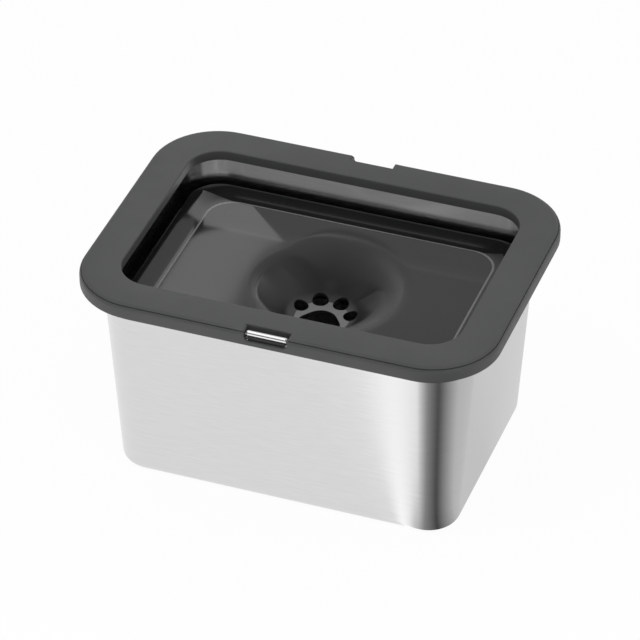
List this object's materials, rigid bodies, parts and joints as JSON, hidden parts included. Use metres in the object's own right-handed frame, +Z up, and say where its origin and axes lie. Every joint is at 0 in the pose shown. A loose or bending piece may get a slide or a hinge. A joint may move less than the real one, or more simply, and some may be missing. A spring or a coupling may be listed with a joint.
{
  "type": "no-spill dog bowl",
  "caption": "Rectangular steel water tank with a clip-on plastic splash ring and a floating drinking tray that lets a little water up through a paw-shaped drain.",
  "frame": {"origin": "centre of the base, on the surface that the bowl stands on", "axes": "+X to the right along the long front, +Y to the back, +Z up"},
  "size_m": [0.36, 0.27, 0.195],
  "materials": {
    "steel": "satin stainless sheet",
    "foot_rubber": "soft matt silicone",
    "seal": "soft matt silicone",
    "ring_plastic": "fine matt moulded dark grey",
    "fastener": "plain stainless",
    "bracket_steel": "plain stainless sheet",
    "lever_plastic": "matt moulded black",
    "bright_wire": "polished wire",
    "tray_plastic": "glossy moulded dark grey",
    "float_plastic": "matt moulded dark grey"
  },
  "bodies": {
    "tank": {"basin": "steel", "foot_front_left": "foot_rubber", "foot_front_right": "foot_rubber", "foot_rear_left": "foot_rubber", "foot_rear_right": "foot_rubber"},
    "lid": {"lid_cover": "ring_plastic", "lid_frame": "ring_plastic", "lid_screws": "fastener", "rim_seal": "seal", "latch_bracket": "bracket_steel", "latch_bracket_screws": "fastener", "latch_pin": "fastener", "latch_spring": "fastener"},
    "latch": {"latch_cam": "lever_plastic", "latch_bail": "bright_wire"},
    "tray": {"tray_dish": "tray_plastic", "tray_float": "float_plastic"}
  },
  "joints": [
    {"name": "lid_lift", "type": "slide", "parent": "tank", "child": "lid", "axis": [0, 0, 1], "range_m": [0, 0.08]},
    {"name": "latch_lever", "type": "hinge", "parent": "lid", "child": "latch", "pos_m": [0, -0.1296, 0.186], "axis": [1, 0, 0], "range_deg": [0, 15], "stiffness_Nm_per_rad": 0.02, "springref_deg": -34.38},
    {"name": "tray_ride", "type": "slide", "parent": "tank", "child": "tray", "axis": [0, 0, 1], "range_m": [-0.08, 0.0276]}
  ]
}
